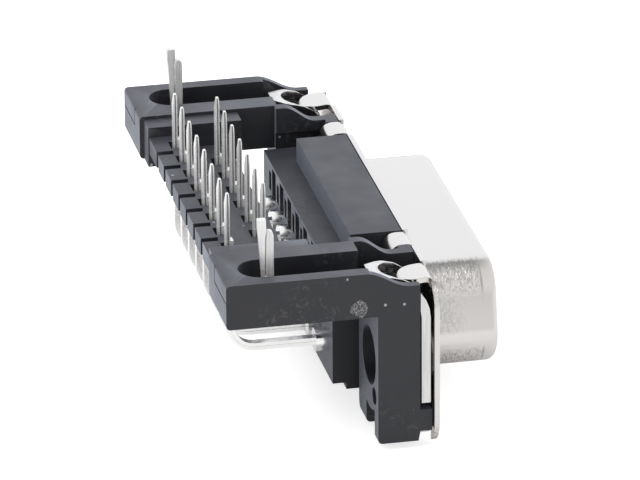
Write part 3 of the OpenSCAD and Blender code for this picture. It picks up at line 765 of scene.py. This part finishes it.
def white_floor(scene, depth):
    """A white floor under the connector, which takes its shadow."""
    bm = bmesh.new()
    bmesh.ops.create_grid(bm, x_segments=1, y_segments=1, size=FLOOR_REACH)
    bmesh.ops.translate(bm, verts=bm.verts, vec=(0, 0, -depth))
    mesh = bpy.data.meshes.new("floor")
    bm.to_mesh(mesh)
    bm.free()
    floor = bpy.data.objects.new("floor", mesh)
    scene.collection.objects.link(floor)
    material, tree, shader = new_material("Floor white")
    shader.inputs["Base Color"].default_value = (FLOOR_GREY, FLOOR_GREY, FLOOR_GREY, 1.0)
    shader.inputs["Roughness"].default_value = 1.0
    shader.inputs["Specular IOR Level"].default_value = 0.0
    shader.inputs["Emission Color"].default_value = WHITE
    rays = tree.nodes.new("ShaderNodeLightPath").outputs
    seen = math_node(tree, "MAXIMUM", rays["Is Camera Ray"], rays["Is Transmission Ray"])
    glow = math_node(tree, "MAXIMUM", product(tree, seen, FLOOR_GLOW_SEEN),
                     product(tree, rays["Is Glossy Ray"], FLOOR_GLOW_MIRRORED))
    tree.links.new(glow, shader.inputs["Emission Strength"])
    mesh.materials.append(material)


def white_room(scene):
    """A white room that the metal reflects, and that lights the connector a little less."""
    world = bpy.data.worlds.new("White room")
    world.use_nodes = True
    scene.world = world
    tree = world.node_tree
    background = tree.nodes["Background"]
    background.inputs["Color"].default_value = WHITE
    rays = tree.nodes.new("ShaderNodeLightPath").outputs
    seen = math_node(tree, "MAXIMUM", rays["Is Camera Ray"], rays["Is Glossy Ray"])
    seen = math_node(tree, "MAXIMUM", seen, rays["Is Transmission Ray"])
    strength = range_node(tree, seen, 0.0, 1.0, ROOM_LIGHT, ROOM_SEEN)
    tree.links.new(strength, background.inputs["Strength"])


def soft_lamp(scene, name, place, size, power, colour):
    """A square area lamp that looks at the connector."""
    data = bpy.data.lights.new(name, "AREA")
    data.size = size
    data.energy = power
    data.color = colour
    lamp = bpy.data.objects.new(name, data)
    scene.collection.objects.link(lamp)
    lamp.location = place
    lamp.rotation_mode = "QUATERNION"
    lamp.rotation_quaternion = (LAMP_TARGET - Vector(place)).to_track_quat("-Z", "Y")


def long_lens(scene, stage):
    """A camera with a long lens that looks down the length of the connector."""
    azimuth, elevation, roll = stage.azimuth, stage.elevation, stage.roll
    back = Vector((math.sin(azimuth) * math.cos(elevation),
                   -math.cos(azimuth) * math.cos(elevation), math.sin(elevation)))
    right = (-back).cross(Vector((0, 0, 1))).normalized()
    up = right.cross(-back)
    right, up = (right * math.cos(roll) + up * math.sin(roll),
                 up * math.cos(roll) - right * math.sin(roll))
    data = bpy.data.cameras.new("Camera")
    data.sensor_width = SENSOR_WIDTH
    data.lens = stage.lens
    data.clip_start = 0.01
    data.clip_end = 10.0
    camera = bpy.data.objects.new("Camera", data)
    scene.collection.objects.link(camera)
    turn = Matrix((right, up, back)).transposed().to_4x4()
    turn.translation = (
        stage.pivot + right * stage.shift_right + up * stage.shift_up + back * stage.distance)
    camera.matrix_world = turn
    scene.camera = camera


# ---------- panel and registration ----------

OPERATORS = (
    CONNECTOR_OT_bracket,
    CONNECTOR_OT_gate_mark,
    CONNECTOR_OT_insulators,
    CONNECTOR_OT_shell,
    CONNECTOR_OT_straps,
    CONNECTOR_OT_locks,
    CONNECTOR_OT_contacts,
    CONNECTOR_OT_stage,
)


class CONNECTOR_PT_panel(bpy.types.Panel):
    """Lists the connector's operators"""

    bl_idname = "CONNECTOR_PT_panel"
    bl_label = "Connector"
    bl_space_type = "VIEW_3D"
    bl_region_type = "UI"
    bl_category = "Connector"

    def draw(self, context):
        for operator in OPERATORS:
            self.layout.operator(operator.bl_idname)


SETTINGS = (ConnectorFinishes, ConnectorMarks, ConnectorStage)
CLASSES = (*SETTINGS, *OPERATORS, CONNECTOR_PT_panel)


def register():
    """Registers the classes and hangs the settings on the scene."""
    for cls in CLASSES:
        bpy.utils.register_class(cls)
    bpy.types.Scene.connector_finishes = bpy.props.PointerProperty(type=ConnectorFinishes)
    bpy.types.Scene.connector_marks = bpy.props.PointerProperty(type=ConnectorMarks)
    bpy.types.Scene.connector_stage = bpy.props.PointerProperty(type=ConnectorStage)


def unregister():
    """Takes the settings off the scene and drops the classes."""
    del bpy.types.Scene.connector_stage
    del bpy.types.Scene.connector_marks
    del bpy.types.Scene.connector_finishes
    for cls in reversed(CLASSES):
        bpy.utils.unregister_class(cls)


def main():
    """Registers the classes, dresses the connector and sets the stage."""
    register()
    bpy.ops.connector.bracket()
    bpy.ops.connector.gate_mark()
    bpy.ops.connector.insulators()
    bpy.ops.connector.shell()
    bpy.ops.connector.straps()
    bpy.ops.connector.locks()
    bpy.ops.connector.contacts()
    bpy.ops.connector.stage()


if __name__ == "__main__":
    main()
